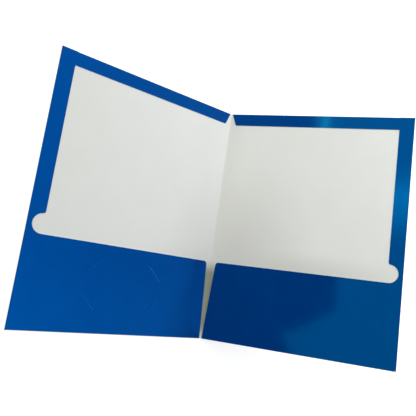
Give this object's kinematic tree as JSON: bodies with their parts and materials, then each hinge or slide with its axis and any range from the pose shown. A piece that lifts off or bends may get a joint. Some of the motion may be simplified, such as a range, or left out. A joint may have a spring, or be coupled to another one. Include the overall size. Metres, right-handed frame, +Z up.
{
  "type": "two pocket folder",
  "caption": "Open pocket folder of film-coated board, with turned-in edges, thumb notches, card slits and a spine crease that opens and shuts.",
  "frame": {"origin": "middle of the left cover's outside face, which lies on the table", "axes": "+X across the covers from the left fore edge towards the spine, +Y along the spine towards the top edge, +Z up"},
  "size_m": [0.3614, 0.2984, 0.2059],
  "materials": {
    "blue_film": "glossy clear film over blue print",
    "blue_board": "board with a glossy blue film on its outside face",
    "white_board": "matt uncoated white board",
    "glue": "dried adhesive"
  },
  "bodies": {
    "left_half": {"left_cover_film": "blue_film", "left_cover_board": "white_board", "left_top_fold": "blue_board", "left_top_flap": "blue_board", "left_top_flap_glue": "glue", "left_side_fold": "blue_board", "left_side_flap": "blue_board", "left_side_flap_glue": "glue", "left_corner_glue": "glue", "left_pocket_fold": "blue_board", "left_pocket_panel": "blue_board", "left_pocket_glue": "glue", "spine_film": "blue_film", "spine_crease": "white_board"},
    "right_half": {"right_cover_film": "blue_film", "right_cover_board": "white_board", "right_top_fold": "blue_board", "right_top_flap": "blue_board", "right_top_flap_glue": "glue", "right_side_fold": "blue_board", "right_side_flap": "blue_board", "right_side_flap_glue": "glue", "right_corner_glue": "glue", "right_pocket_fold": "blue_board", "right_pocket_panel": "blue_board", "right_pocket_glue": "glue"},
    "left_pocket": {"left_pocket_corner": "blue_board"},
    "right_pocket": {"right_pocket_corner": "blue_board"}
  },
  "joints": [
    {"name": "spine_fold", "type": "hinge", "parent": "left_half", "child": "right_half", "pos_m": [0.11906, 0, 0.0017], "axis": [0, 1, 0], "range_deg": [-120.8, 59.2], "deforming": ["spine_film", "spine_crease"]},
    {"name": "left_pocket_flex", "type": "hinge", "parent": "left_half", "child": "left_pocket", "pos_m": [0.11739, -0.14222, 0.0011], "axis": [0.8886, -0.4587, 0], "range_deg": [0, 12], "stiffness_Nm_per_rad": 0.04, "deforming": ["left_pocket_corner"]},
    {"name": "right_pocket_flex", "type": "hinge", "parent": "right_half", "child": "right_pocket", "pos_m": [0.12044, -0.14222, 0.00283], "axis": [0.455, 0.4587, 0.7632], "range_deg": [0, 12], "stiffness_Nm_per_rad": 0.04, "deforming": ["right_pocket_corner"]}
  ]
}
